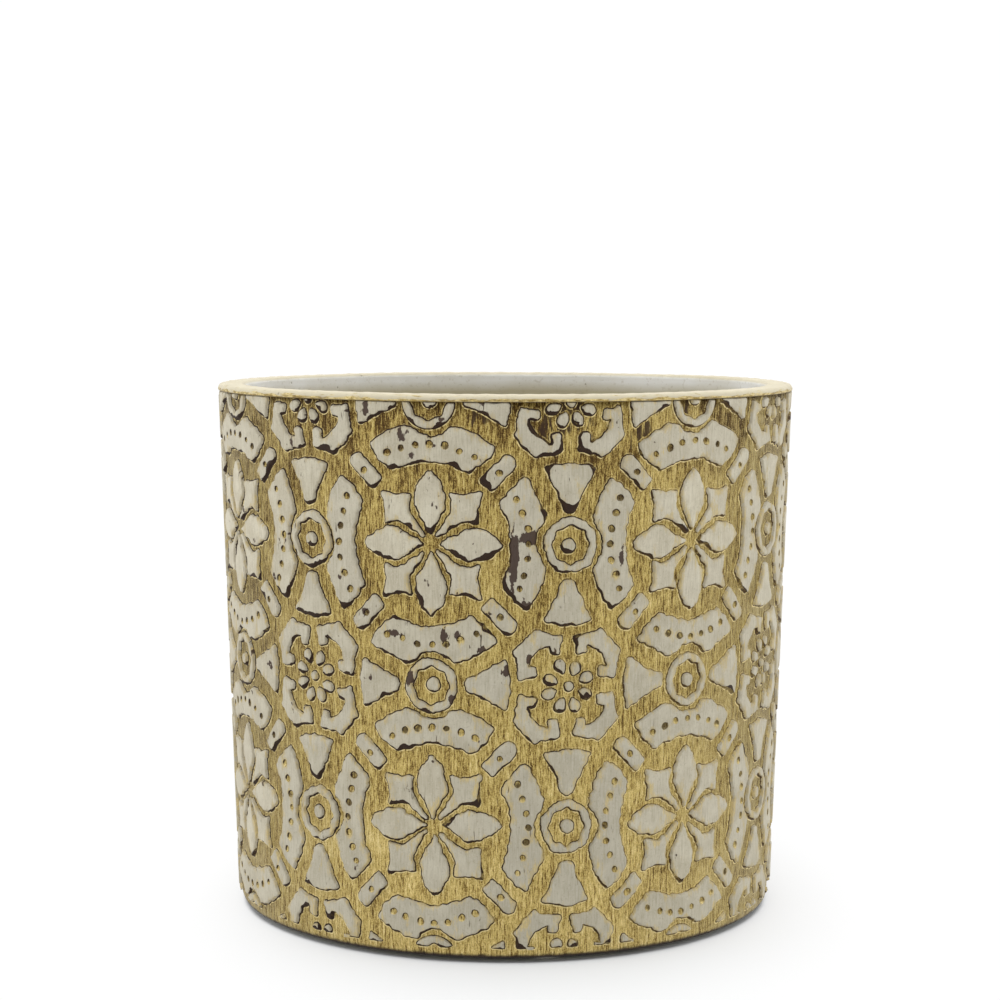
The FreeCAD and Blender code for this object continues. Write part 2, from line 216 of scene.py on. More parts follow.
def smooth_run(run, step):
    """Catmull-Rom curve through a run."""
    points = np.array(run, dtype=float)
    closed = np.allclose(points[0], points[-1])
    before = points[-2] if closed else 2 * points[0] - points[1]
    after = points[1] if closed else 2 * points[-1] - points[-2]
    padded = np.vstack([before, points, after])
    pieces = []
    for index in range(len(points) - 1):
        a, b, c, d = padded[index:index + 4]
        count = max(2, int(np.linalg.norm(c - b) / step))
        share = np.linspace(0, 1, count, endpoint=False)[:, None]
        pieces.append(0.5 * (
            2 * b + (c - a) * share + (2 * a - 5 * b + 4 * c - d) * share ** 2
            + (3 * b - a - 3 * c + d) * share ** 3))
    return np.vstack(pieces)


def outline_points(outline):
    return np.vstack([smooth_run(run, 0.01) for run in outline])


def cross(first, second):
    return first[..., 0] * second[..., 1] - first[..., 1] * second[..., 0]


def even_loop(points, step):
    """The same loop, anticlockwise with even spacing."""
    if np.sum(cross(points, np.roll(points, -1, axis=0))) < 0:
        points = points[::-1]
    closed = np.vstack([points, points[:1]])
    lengths = np.concatenate([[0], np.cumsum(np.linalg.norm(np.diff(closed, axis=0), axis=1))])
    count = max(10, int(lengths[-1] / step))
    places = np.linspace(0, lengths[-1], count, endpoint=False)
    return np.column_stack([np.interp(places, lengths, closed[:, axis]) for axis in (0, 1)])


def blurred(values, times=1):
    for _ in range(times):
        values = (np.roll(values, 1, axis=0) + 2 * values + np.roll(values, -1, axis=0)) / 4
    return values


def unit(vectors):
    return vectors / np.maximum(np.linalg.norm(vectors, axis=1, keepdims=True), 1e-9)


def loop_normals(loop, reach=1):
    """Outward unit normals."""
    along = np.roll(loop, -reach, axis=0) - np.roll(loop, reach, axis=0)
    return unit(np.column_stack([along[:, 1], -along[:, 0]]))


def room_along(loop, direction):
    """Distance from each point along a direction to the loop's next crossing."""
    edge = (np.roll(loop, -1, axis=0) - loop)[None, :, :]
    to_first = loop[None, :, :] - loop[:, None, :]
    way = direction[:, None, :]
    turn = cross(way, edge)
    turn = np.where(np.abs(turn) < 1e-9, 1e-9, turn)
    distance = cross(to_first, edge) / turn
    share = cross(to_first, way) / turn
    hit = (share >= -0.01) & (share <= 1.01) & (distance > 0.08)
    return np.where(hit, distance, 50.0).min(axis=1)


def inside_loop(points, loop):
    x, y = points[:, 0][:, None], points[:, 1][:, None]
    x0, y0 = loop[:, 0][None, :], loop[:, 1][None, :]
    x1, y1 = np.roll(x0, -1, axis=1), np.roll(y0, -1, axis=1)
    crosses = (y0 > y) != (y1 > y)
    slope = np.where(np.abs(y1 - y0) < 1e-12, 1e-12, y1 - y0)
    return ((crosses & (x < (x1 - x0) * (y - y0) / slope + x0)).sum(axis=1) % 2) == 1


def clip_rows(loop, low, high):
    """Part of a loop between two heights (Sutherland-Hodgman), or None."""
    for limit, side in ((low, 1), (high, -1)):
        kept = []
        for here, after in zip(loop, np.roll(loop, -1, axis=0)):
            here_in, after_in = (side * point[1] >= side * limit for point in (here, after))
            if here_in:
                kept.append(here)
            if here_in != after_in:
                kept.append(here + (after - here) * (limit - here[1]) / (after[1] - here[1]))
        if len(kept) < 3:
            return None
        loop = np.array(kept)
    return loop


def distances(points, place):
    return np.linalg.norm(points - place, axis=-1)


def nearest_on(points, loop):
    """The index of each point's nearest loop point, and its distance."""
    apart = distances(points[:, None, :], loop[None, :, :])
    return apart.argmin(axis=1), apart.min(axis=1)


def filled(outline, gaps, loose):
    """Points and anticlockwise triangles inside an outline and outside its gaps."""
    edges, total = [], 0
    for loop in [outline] + gaps:
        edges += [(total + index, total + (index + 1) % len(loop)) for index in range(len(loop))]
        total += len(loop)
    everything = np.vstack([outline] + gaps + [loose])
    result = delaunay_2d_cdt([Vector(point) for point in everything], edges, [], 0, 1e-5)
    points = np.array([(point[0], point[1]) for point in result[0]])
    triangles = np.array([list(face) for face in result[2] if len(face) == 3])
    middles = points[triangles].mean(axis=1)
    keep = inside_loop(middles, outline)
    for gap in gaps:
        keep &= ~inside_loop(middles, gap)
    triangles = triangles[keep]
    first, second, third = (points[triangles[:, corner]] for corner in range(3))
    clockwise = cross(second - first, third - first) <= 0
    triangles[clockwise] = triangles[clockwise][:, ::-1]
    return points, triangles


# ---- islands

OUTLINE_STEP = 0.5
GRID_STEP = 0.8
GRID_ROW = GRID_STEP * 0.87
GRID_SHAKE = 0.12
PIT_RADIUS = 0.9
PIT_CIRCLE, PIT_ANGLES = round_points(14)
HOLE_INSET = 0.24
SKIRT_LOW = BASE_Z + 0.6
SKIRT_HIGH = PATTERN_HIGH + 0.02
FAR = 9.0  # rim value of points away from any pit
GRIME_AZIMUTH = math.radians(-30.0)

# (distance in from the outline, rise off the ground), from the skirt inwards
EDGE_RINGS = [
    (-0.68, -0.04), (-0.46, 0.03), (-0.18, 0.07), (-0.03, 0.2), (0.07, 0.54), (0.18, 0.73), (0.36, 0.8),
]
# (share of the pit's radius, rise off the ground)
PIT_RINGS = [(1.0, 0.8), (0.9, 0.71), (0.74, 0.52), (0.5, 0.42), (0.22, 0.39)]


class IslandMesh:
    """Collects islands of one kind into one mesh."""

    def __init__(self, pale):
        self.points = []
        self.faces = []
        self.values = {key: [] for key in ("edge", "cover", "rim", "down", "tone", "stain", "pale")}
        self.pale = pale
        self.total = 0

    def add(self, flat, rise, **values):
        start = self.total
        self.points.append(wall_points(flat, rise))
        stain = np.zeros(len(flat))
        for middle, half in self.stains:
            stain = np.maximum(stain, np.exp(-(((flat - middle) / half) ** 2).sum(axis=1)))
        values.update(tone=self.tone, stain=stain, pale=self.pale)
        for key in self.values:
            self.values[key].append(np.broadcast_to(values[key], len(flat)))
        self.total += len(flat)
        return start

    def add_rows(self, rows):
        """Closed rows of points, joined by bands; returns the last row's first index."""
        starts = [self.add(flat, rise, **values) for flat, rise, values in rows]
        for outer, inner in zip(starts[:-1], starts[1:]):
            band(self.faces, outer, inner, len(rows[0][0]))
        return starts[-1]

    def finish(self, name, material):
        values = {key: np.concatenate(parts) for key, parts in self.values.items()}
        make_object(name + "_relief", np.concatenate(self.points), self.faces, material, "pot",
                    name, "bare_cement", values)


def grime(azimuth, height):
    """How much umber is left showing: most near the rim, least on two opposite sides."""
    side = math.cos(azimuth - GRIME_AZIMUTH) ** 2
    rise = min(1.0, max(0.0, (height - BASE_Z - 30.0) / 80.0))
    return 0.25 + 0.45 * side + 0.45 * rise * side


def lowness(normals):
    """How far an edge faces down, and a little to the left, where the umber stays."""
    return np.clip(-normals[:, 1] - 0.25 * normals[:, 0], -1, 1)


def wear_along(loop, normals, rng, wear, spots=()):
    """How far the bare face keeps back from the outline, point by point."""
    count = len(loop)
    position = np.arange(count) / count
    length = count * OUTLINE_STEP
    middle = loop.mean(axis=0)
    dirt = grime(middle[0] / WALL_SPAN, middle[1])
    lower = np.maximum(lowness(normals), 0)
    ripple = wave_sum(rng, [(length / 9, 1.0), (length / 3.5, 0.7)], position)
    back = 0.02 + 0.75 * dirt * lower ** 1.5 * np.clip(0.3 + ripple, 0, 1.6)
    if rng.random() < wear * dirt * 1.3:
        worst = rng.randrange(count)
        if rng.random() < 0.75:
            lean = np.sin(2 * math.pi * position + rng.random() * 6)
            worst = int(np.argmax(lower + 0.35 * rng.random() * lean))
        apart = np.abs(np.arange(count) - worst)
        apart = np.minimum(apart, count - apart)
        reach = rng.uniform(1.0, 3.0) / OUTLINE_STEP
        back = back + rng.uniform(0.4, 1.3) * np.exp(-(apart / reach) ** 2)
    for degrees, depth, reach in spots:
        way = np.array([math.cos(math.radians(degrees)), math.sin(math.radians(degrees))])
        worst = loop[int(np.argmax((loop - middle) @ way))]
        back = back + depth * np.exp(-(distances(loop, worst) / reach) ** 2)
    return blurred(back)


class Edge:
    """A loop with what its rows need to know; its normals point off the island."""

    def __init__(self, loop, normals, back, insets):
        self.loop, self.normals, self.back, self.insets = loop, normals, back, insets
        self.lower = lowness(normals)

    def inset(self, distance):
        flat = self.loop - self.normals * np.reshape(distance, (-1, 1))
        flat[:, 1] = np.clip(flat[:, 1], SKIRT_LOW, SKIRT_HIGH)
        return flat

    def add_rows(self, mesh, order=1):
        """Rows from the skirt to the face, or back if order is -1; returns the face's border."""
        mesh.add_rows([
            (self.inset(inset), rise, dict(edge=inset, cover=inset - self.back, rim=FAR, down=self.lower))
            for inset, (_, rise) in list(zip(self.insets, EDGE_RINGS))[::order]])
        return self.inset(self.insets[-1])


def outline_edge(loop, rng, wear, spots=()):
    """An outline's edge, with closer rows where the island is narrow."""
    normals = unit(blurred(loop_normals(loop)))
    room = blurred(np.minimum(room_along(loop, -normals), 3.0), 2)
    give = np.minimum(1.0, 0.42 * room / EDGE_RINGS[-1][0])
    return Edge(loop, normals, wear_along(loop, normals, rng, wear, spots),
                [distance * (give if distance > 0 else 1.0) for distance, _ in EDGE_RINGS])


def hole_edge(loop):
    normals = -unit(blurred(loop_normals(loop)))
    return Edge(loop, normals, 0.02 + 0.14 * np.maximum(lowness(normals), 0),
                [min(distance, HOLE_INSET) for distance, _ in EDGE_RINGS])


def add_island(mesh, outline, column, row, turn, rng, pits=(), hole=None, wear=0.35, spots=(), stains=()):
    """One raised island: skirt, side, worn edge, flat face and pits."""
    lean = rng.gauss(0, 0.018)
    shift = np.array([rng.gauss(0, 0.16), rng.gauss(0, 0.16)])
    swell = 1 + rng.gauss(0, 0.018)
    crossing = np.array([column * HALF_COLUMN + FLOWER_AZIMUTH * WALL_SPAN,
                         BASE_Z + FLOWER_HEIGHT - (row - 1) * ROW_PITCH])

    def turned(lattice):
        x = lattice[:, 0] * math.cos(turn) + lattice[:, 1] * math.sin(turn)
        y = lattice[:, 1] * math.cos(turn) - lattice[:, 0] * math.sin(turn)
        return np.column_stack([x * HALF_COLUMN, y * ROW_PITCH])

    raw = outline_points(outline)
    centre = turned(raw).mean(axis=0)

    def place(lattice):
        spun = (turned(lattice) - centre) * swell
        leaned = np.column_stack([spun[:, 0] - lean * spun[:, 1], spun[:, 1] + lean * spun[:, 0]])
        return leaned + centre + shift + crossing

    loop = clip_rows(place(raw), PATTERN_LOW, PATTERN_HIGH)
    if loop is None:
        return
    middle = loop.mean(axis=0)
    mesh.stains = [(middle + np.array(spot[:2]), np.array(spot[2:])) for spot in stains]
    if np.ptp(loop[:, 1]) < 0.8:
        return
    step = OUTLINE_STEP * (0.6 if np.ptp(loop[:, 0]) < 4.5 else 1.0)
    loop = even_loop(loop, step)
    position = np.arange(len(loop)) / len(loop)
    length = len(loop) * step
    jag = wave_sum(rng, [(length / 9, 0.26), (length / 3.4, 0.22), (length / 1.7, 0.12)], position)
    jag *= np.clip(np.ptp(loop, axis=0).max() / 13.0, 0.5, 1.0)
    loop = blurred(loop) + loop_normals(loop, 2) * jag[:, None]
    loop[:, 1] = np.clip(loop[:, 1], PATTERN_LOW, PATTERN_HIGH)
    edge = outline_edge(loop, rng, wear, spots)
    mesh.tone = rng.random()

    holes = []
    raw_hole = place(outline_points(hole)) if hole else None
    hole_loop = clip_rows(raw_hole, PATTERN_LOW - 0.5, PATTERN_HIGH + 0.5) if hole else None
    if hole_loop is not None:
        if hole_loop[:, 1].min() < PATTERN_LOW + 0.4 or hole_loop[:, 1].max() > PATTERN_HIGH - 0.4:
            add_cut_ring(mesh, place(raw), raw_hole, rng, wear)
            return
        hole_loop = even_loop(hole_loop, step)
        position = np.arange(len(hole_loop)) / len(hole_loop)
        jag = wave_sum(rng, [(9, 0.14), (26, 0.06)], position)
        holes.append(hole_edge(hole_loop + loop_normals(hole_loop) * jag[:, None]))

    rims = []
    for middle in place(np.array(pits)) if pits else ():
        middle = middle + np.array([rng.gauss(0, 0.12), rng.gauss(0, 0.12)])
        radius = PIT_RADIUS * rng.uniform(0.82, 1.12) * (
            1 + 0.07 * np.sin(2 * PIT_ANGLES + rng.random() * 6)
            + 0.04 * np.sin(5 * PIT_ANGLES + rng.random() * 6))
        rims.append((middle, radius[:, None]))
    build_island(mesh, edge, holes, rims, rng)


def add_cut_ring(mesh, outer, inner, rng, wear):
    """A ring cut by the rim or the base, as one open crescent."""
    outer = even_loop(outer, OUTLINE_STEP)
    inner = even_loop(inner, OUTLINE_STEP)
    kept = (outer[:, 1] > PATTERN_LOW) & (outer[:, 1] < PATTERN_HIGH)
    if not kept.any() or kept.all():
        return
    first = int(np.argmax(kept & ~np.roll(kept, 1)))
    outer = np.roll(outer, -first, axis=0)[:int(kept.sum())]
    middle = inner.mean(axis=0)
    angles, inner_angles = (np.arctan2(*(loop - middle).T[::-1]) for loop in (outer, inner))
    order = np.argsort(inner_angles)
    inner_reach = distances(inner, middle)
    reach = np.interp(angles, inner_angles[order], inner_reach[order], period=2 * math.pi)
    inside = middle + np.column_stack([np.cos(angles), np.sin(angles)]) * reach[:, None]
    inside[:, 1] = np.clip(inside[:, 1], PATTERN_LOW, PATTERN_HIGH)
    loop = even_loop(np.vstack([outer, inside[::-1]]), OUTLINE_STEP * 0.8)
    build_island(mesh, outline_edge(loop, rng, wear), [], [], rng)


def build_island(mesh, edge, holes, rims, rng):
    """Adds an island's skirt, side, face, holes and pits; rims are (middle, radii) of the pits."""
    outline = edge.add_rows(mesh)
    gaps = [hole.add_rows(mesh, -1) for hole in holes]

    # flat face: loose points on a shaken grid, clear of the outline, the holes and the pits
    low, high = outline.min(axis=0), outline.max(axis=0)
    grid = np.array([
        (x + (GRID_STEP / 2 if level % 2 else 0) + rng.uniform(-GRID_SHAKE, GRID_SHAKE),
         y + rng.uniform(-GRID_SHAKE, GRID_SHAKE))
        for level, y in enumerate(np.arange(low[1], high[1], GRID_ROW))
        for x in np.arange(low[0], high[0], GRID_STEP)])
    good = inside_loop(grid, outline) & (nearest_on(grid, outline)[1] > GRID_STEP * 0.42)
    for gap in gaps:
        good &= ~inside_loop(grid, gap) & (nearest_on(grid, gap)[1] > GRID_STEP * 0.4)
    for middle, radius in rims:
        good &= distances(grid, middle) > radius.max() + 0.32
    points, triangles = filled(
        outline, gaps + [middle + PIT_CIRCLE * radius for middle, radius in rims], grid[good])

    to_edge = cover = np.full(len(points), np.inf)
    down = np.zeros(len(points))
    for part in [edge] + holes:
        nearest, apart = nearest_on(points, part.loop)
        down = np.where(apart < to_edge, part.lower[nearest], down)
        cover = np.minimum(cover, apart - part.back[nearest])
        to_edge = np.minimum(to_edge, apart)
    rim = np.full(len(points), FAR)
    for middle, radius in rims:
        rim = np.minimum(rim, distances(points, middle) - radius.mean())
    swells = np.sin(points[:, 0] * 1.3 + 5 * mesh.tone) * np.sin(points[:, 1] * 0.9 + 9 * mesh.tone)
    rise = RELIEF + np.where(to_edge < 0.32, 0.0, 0.018 * swells)
    start = mesh.add(points, rise, edge=to_edge, cover=cover, rim=rim, down=down)
    mesh.faces += (triangles + start).tolist()

    for middle, radius in rims:
        last = mesh.add_rows([
            (middle + PIT_CIRCLE * radius * share, rise,
             dict(edge=1.5, cover=1.5, rim=(share - 1) * PIT_RADIUS, down=PIT_CIRCLE[:, 1]))
            for share, rise in PIT_RINGS])
        bottom = mesh.add(middle[None, :], 0.38, edge=1.5, cover=1.5, rim=-PIT_RADIUS, down=0.0)
        fan(mesh.faces, last, bottom, len(PIT_CIRCLE))


FLOWERS = [(column, row) for column in range(0, 14, 2) for row in (1, 3)]
MEDALLIONS = [(column, row) for column in range(1, 14, 2) for row in (0, 2, 4)]
UPRIGHT_RINGS = [(column, row) for column in range(1, 14, 2) for row in (1, 3)]
LEVEL_RINGS = [(column, row) for column in range(0, 14, 2) for row in (0, 2, 4)]
RINGS = UPRIGHT_RINGS + LEVEL_RINGS


# Places where the umber was never rubbed off: (direction in degrees from the
# island's middle, depth, reach), by piece and (column, row, turn number).
WORN_SPOTS = {
    "keystones": {(1, 1, 0): [(-90, 2.1, 1.9), (145, 0.9, 1.2), (35, 0.9, 1.2)]},
    "dotted_arcs": {
        (0, 1, 1): [(205, 0.9, 2.6), (20, 1.3, 1.2), (-60, 0.9, 1.0)],
        (0, 1, 0): [(-120, 0.6, 0.8), (-90, 0.5, 0.7)], (0, 1, 2): [(-95, 0.7, 1.4), (100, 0.5, 1.0)],
        (2, 1, 3): [(-90, 0.8, 1.6)]},
    "leaf_petals": {
        (0, 1, 0): [(-90, 1.1, 1.5)], (0, 1, 1): [(-80, 1.3, 2.4), (-120, 0.5, 1.5)],
        (0, 3, 2): [(-90, 0.8, 0.9)]},
    "star_petals": {
        (0, 1, 0): [(-60, 0.7, 2.2)], (0, 1, 2): [(-90, 0.6, 1.6)], (0, 3, 1): [(-90, 0.5, 1.8)],
        (0, 3, 2): [(-120, 0.6, 1.2)]},
    "lozenges": {(0, 1, 0): [(-135, 1.9, 1.5)]},
    "medallion_borders": {
        (1, 0, 1): [(-110, 0.6, 3.2)], (1, 0, 2): [(-60, 0.7, 3.2)], (1, 2, 0): [(180, 0.9, 1.2)],
        (1, 4, 3): [(-110, 1.3, 1.4)], (1, 4, 0): [(-70, 1.1, 1.4)]},
    "medallion_drops": {(1, 2, 4): [(-90, 0.9, 1.3)], (1, 2, 2): [(-90, 0.6, 1.5)]},
}

# Umber stains on the faces: (across, up, half width, half height) from the
# island's middle in millimetres, by the same keys.
STAINS = {
    "dotted_arcs": {
        (0, 1, 2): [(-8.5, 1.2, 2.4, 0.9), (3.0, 1.3, 0.9, 1.8),
            (6.0, 1.3, 0.8, 1.2), (11.5, -2.0, 1.1, 1.1)],
        (0, 1, 1): [(-2.2, -3.3, 1.2, 7.6), (1.8, 1.5, 2.8, 1.8),
            (-4.0, -10.9, 1.3, 1.5), (0.4, -13.6, 2.0, 1.2)],
        (0, 1, 0): [(-6.6, 3.2, 0.6, 1.4), (-3.9, -1.4, 0.5, 1.0), (0.8, 0.0, 0.25, 1.4)],
        (2, 1, 3): [(1.6, -3.0, 0.5, 2.6)], (6, 1, 1): [(-1.6, -4.0, 1.0, 2.0)],
        (8, 3, 2): [(5.0, 0.6, 1.8, 0.9)]},
    "rosette_rings": {
        (0, 2, 0): [(-5.0, 1.5, 1.1, 2.2), (5.2, -3.0, 1.2, 1.7)], (8, 2, 0): [(4.6, 2.4, 1.4, 1.6)],
        (5, 3, 0): [(-4.0, -3.4, 1.5, 1.4)]},
    "keystones": {(0, 2, 0): [(3.2, 3.0, 1.3, 1.3)], (7, 1, 1): [(1.2, -1.6, 1.2, 1.2)]},
    "lozenges": {(0, 1, 2): [(-0.5, 0.0, 0.9, 1.2)]},
    "leaf_petals": {(0, 1, 1): [(0.6, 0.9, 0.3, 0.9)], (6, 3, 3): [(0.0, -0.8, 1.4, 0.9)]},
    "medallion_borders": {(1, 2, 3): [(-1.5, -1.0, 0.8, 1.2)], (1, 0, 0): [(2.0, 1.0, 0.8, 3.0)]},
}


def keystone_turns(crossing):
    return [0.0, math.pi] if crossing in UPRIGHT_RINGS else [math.pi / 2, -math.pi / 2]


def island_piece(name, material, outline, crossings, turns, pale=1.0, **extras):
    """All islands of one kind as one piece; turns may depend on the crossing."""
    rng = random.Random(name)
    mesh = IslandMesh(pale)
    worn, stains = WORN_SPOTS.get(name, {}), STAINS.get(name, {})
    for crossing in crossings:
        for number, turn in enumerate(turns(crossing) if callable(turns) else turns):
            key = (*crossing, number)
            add_island(mesh, outline, *crossing, turn, rng, spots=worn.get(key, ()),
                       stains=stains.get(key, ()), **extras)
    mesh.finish(name, material)


# ---- materials

class Value:
    """A node's output, for sums."""

    def __init__(self, graph, socket):
        self.graph = graph
        self.socket = socket

    def maths(self, operation, other):
        return self.graph.node("Math", {0: self, 1: other}, operation=operation)

    __add__ = partialmethod(maths, "ADD")
    __sub__ = partialmethod(maths, "SUBTRACT")
    __mul__ = partialmethod(maths, "MULTIPLY")
    at_least = partialmethod(maths, "MAXIMUM")

    def __rsub__(self, other):
        return self.graph.node("Math", {0: other, 1: self}, operation="SUBTRACT")

    def span(self, low, high, to_low=0.0, to_high=1.0, smooth=True):
        """Maps low..high to to_low..to_high and holds the ends."""
        return self.graph.node(
            "MapRange",
            {"Value": self, "From Min": low, "From Max": high, "To Min": to_low, "To Max": to_high},
            interpolation_type="SMOOTHSTEP" if smooth else "LINEAR")


class Graph:
    """Short spellings for a material's or a world's nodes."""

    def __init__(self, owner, kind="Material"):
        owner.use_nodes = True
        self.owner = owner
        self.tree = owner.node_tree
        self.tree.nodes.clear()
        self.output = self.tree.nodes.new("ShaderNodeOutput" + kind)

    def feed(self, socket, value):
        if isinstance(value, Value):
            self.tree.links.new(value.socket, socket)
        else:
            socket.default_value = value

    def node(self, kind, inputs=None, output=0, **props):
        made = set_all(self.tree.nodes.new("ShaderNode" + kind), **props)
        for key, value in (inputs or {}).items():
            self.feed(made.inputs[key], value)
        return Value(self, made.outputs[output])

    def finish(self, shader):
        self.feed(self.output.inputs["Surface"], shader)
        return self.owner

    def vector_maths(self, operation, *values):
        output = "Value" if operation in ("LENGTH", "DISTANCE", "DOT_PRODUCT") else 0
        return self.node("VectorMath", dict(enumerate(values)), output, operation=operation)

    def vector(self, x, y, z):
        return self.node("CombineXYZ", {"X": x, "Y": y, "Z": z})

    def split(self, vector):
        first = self.node("SeparateXYZ", {"Vector": vector})
        return [Value(self, socket) for socket in first.socket.node.outputs]

    @cached_property
    def place(self):
        return self.node("TexCoord", output="Object")

    @cached_property
    def height(self):
        return self.split(self.place)[2]

    @cached_property
    def level(self):
        """The place with its height left out."""
        x, y, _ = self.split(self.place)
        return self.vector(x, y, 0.0)

    @cached_property
    def radius(self):
        return self.vector_maths("LENGTH", self.level)

    @cached_property
    def outward(self):
        return self.vector_maths("NORMALIZE", self.level)

    def down_wall(self, stretch):
        """Coordinates that run down the tapered wall, their heights times stretch."""
        x, y, _ = self.split(self.vector_maths("MULTIPLY", self.outward, [WALL_SPAN * MM] * 3))
        return self.vector(x, y, self.height * stretch)

    def noise(self, scale, detail=3.0, roughness=0.6, distortion=0.0, stretch=None):
        vector = self.place if stretch is None else self.down_wall(stretch)
        return self.node("TexNoise", {
            "Vector": vector, "Scale": scale, "Detail": detail, "Roughness": roughness,
            "Distortion": distortion}, "Fac")

    def mix(self, share, first, second, blend="MIX"):
        return self.node("Mix", {0: share, 6: first, 7: second}, 2, data_type="RGBA", blend_type=blend)

    def tinted(self, color, red, green, blue):
        return self.mix(1.0, color, self.vector(red, green, blue), "MULTIPLY")

    def ramp(self, value, stops):
        color = self.node("ValToRGB", {"Fac": value}, "Color")
        elements = color.socket.node.color_ramp.elements
        while len(elements) < len(stops):
            elements.new(0.5)
        for element, (place, shown) in zip(elements, stops):
            element.position = place
            element.color = shown
        return color

    def attribute(self, name):
        return self.node("Attribute", output="Fac", attribute_name=name)

    def surface(self, relief, distance, strength, **inputs):
        """A Principled surface whose normal comes from a relief."""
        inputs["Normal"] = self.node(
            "Bump", {"Height": relief, "Distance": distance, "Strength": strength})
        return self.finish(self.node("BsdfPrincipled", inputs))

    def painted(self, shine, relief, distance, **inputs):
        """A surface that is matt where shine is 0, as bare umber is."""
        return self.surface(relief, distance, 0.8, **inputs, **{
            "Specular IOR Level": shine.span(0.0, 1.0, 0.12, 0.5, smooth=False),
            "Sheen Weight": shine * 0.1, "Sheen Roughness": 0.45, "Sheen Tint": SHEEN_TINT})


def new_graph(name):
    return Graph(bpy.data.materials.new(name))


def shade(red, green, blue):
    """Linear colour from display values 0 to 255."""
    def linear(value):
        value = value / 255
        return value / 12.92 if value <= 0.04045 else ((value + 0.055) / 1.055) ** 2.4
    return (linear(red), linear(green), linear(blue), 1.0)


WHITE = (1.0, 1.0, 1.0, 1.0)
UMBER = shade(62, 46, 34)
# deep umber, also used as painted shadow along the foot and in the pits' crescents
DEEP_UMBER_AND_SHADOW = shade(42, 31, 27)
UMBER_PALE = shade(90, 70, 42)
STAIN = shade(60, 42, 38)
GOLD_DEEP = shade(74, 54, 26)
GOLD_BROWN = shade(106, 81, 34)
GOLD_SHADOW = shade(145, 119, 55)
GOLD_MIDDLE = shade(184, 160, 85)
GOLD_LIGHT = shade(209, 186, 112)
GOLD_GLINT = shade(236, 217, 156)
SHEEN_TINT = shade(255, 246, 222)
GOLD_DUST = shade(196, 172, 108)
CEMENT_FACE = shade(195, 188, 167)
CEMENT_FACE_DARK = shade(179, 171, 149)
CEMENT_LIP = shade(196, 187, 161)
CEMENT_INSIDE = shade(180, 172, 145)
CEMENT_INSIDE_PAINTED_LIGHT = shade(229, 229, 226)


def umber_share(graph):
    """Same idea as grime(), read from the position on the wall."""
    toward = (math.sin(GRIME_AZIMUTH), -math.cos(GRIME_AZIMUTH), 0.0)
    along = graph.vector_maths("DOT_PRODUCT", graph.outward, toward)
    return along * along * graph.height.span(0.03, 0.115, 0.45, 1.0, smooth=False)


def gold_layers(graph, dirt):
    """Dry-brushed gold over umber, with painted shade and painted light in its colour: colour, metal share,
    roughness and height.
    """
    fine = graph.noise(4600.0, 3.0, 0.7, stretch=0.12)
    broad = graph.noise(2300.0, 2.0, stretch=0.085)
    strip = graph.noise(620.0, 1.0, 0.5, stretch=0.1)
    patch = graph.noise(95.0, 3.0, 0.55) - 0.5
    grain = graph.noise(3600.0, 2.0) - 0.5
    top = graph.height.span(0.098, 0.124)
    foot = graph.height.span(0.015, 0.06, 1.0, 0.0)
    blot = graph.noise(330.0, stretch=0.28).span(0.49, 0.61) * top
    streak = fine * 0.6 + broad * 0.3 + strip * 0.1 + grain * 0.32 + patch * 0.16
    # blots and umber left showing darken the streaks; they are a little darker near the top, and lighter
    # near the foot as painted light
    streak = streak - blot * 0.08 - dirt * 0.034 - top * 0.014 + foot * 0.017
    color = graph.ramp(streak, [
        (0.345, GOLD_DEEP), (0.4, GOLD_BROWN), (0.44, GOLD_SHADOW), (0.495, GOLD_MIDDLE),
        (0.575, GOLD_LIGHT), (0.68, GOLD_GLINT)])
    # painted shade: the gold is darker where the wall turns away from the view; painted light: it is a
    # little lighter and bluer near the foot
    facing = graph.node("LayerWeight", {"Blend": 0.5}, "Facing")
    painted_light_and_shade = facing.span(0.1, 0.62, 1.0, 0.58, smooth=False) * (foot * 0.08 + 1.0)
    color = graph.tinted(color, painted_light_and_shade, painted_light_and_shade, painted_light_and_shade * (foot * 0.07 + 1.0))
    return color, streak.span(0.36, 0.5, 0.08, 0.3), streak.span(0.36, 0.6, 0.62, 0.44), streak


# Places where the ground kept its umber: (degrees round the wall, height, reach, share)
GROUND_STAINS = [
    (11.9, TOP_Z - 4.0, 11.0, 1.0), (26.0, TOP_Z - 9.0, 5.0, 1.2), (-3.5, TOP_Z - 4.0, 5.0, 1.0),
    (-42.0, TOP_Z - 3.0, 6.0, 0.7), (34.0, TOP_Z - 4.0, 4.5, 0.9),
]


def gold_ground_material():
    graph = new_graph("gold_over_umber")
    color, metal, rough, streak = gold_layers(graph, umber_share(graph))
    kept = 0.0
    for degrees, height, reach, share in GROUND_STAINS:
        azimuth = math.radians(degrees)
        middle = Vector((WALL_SPAN * math.sin(azimuth), -WALL_SPAN * math.cos(azimuth), height)) * MM
        apart = graph.vector_maths("DISTANCE", graph.down_wall(1.0), middle)
        kept = apart.span(0.2 * reach * MM, reach * MM, share, 0.0).at_least(kept)
    drips = graph.noise(520.0, 3.0, 0.65, stretch=0.22) + kept * 0.16
    kept = kept.span(0.0, 0.15) * drips.span(0.6, 0.68)
    color = graph.mix(kept * 0.9, color, UMBER)
    # painted shadow: a dark band along the coat's foot, where the pot's contact shadow falls, left ungilded
    foot = graph.height + (graph.noise(700.0) - 0.5) * 0.0012
    painted_foot_shadow = foot.span(0.0016, 0.0024, 0.9, 0.0)
    color = graph.mix(painted_foot_shadow, color, DEEP_UMBER_AND_SHADOW)
    gilded = 1.0 - painted_foot_shadow.at_least(kept)
    return graph.painted(streak.span(0.37, 0.47) * gilded, streak, 0.00026, **{
        "Base Color": color, "Metallic": metal * gilded, "Roughness": rough})


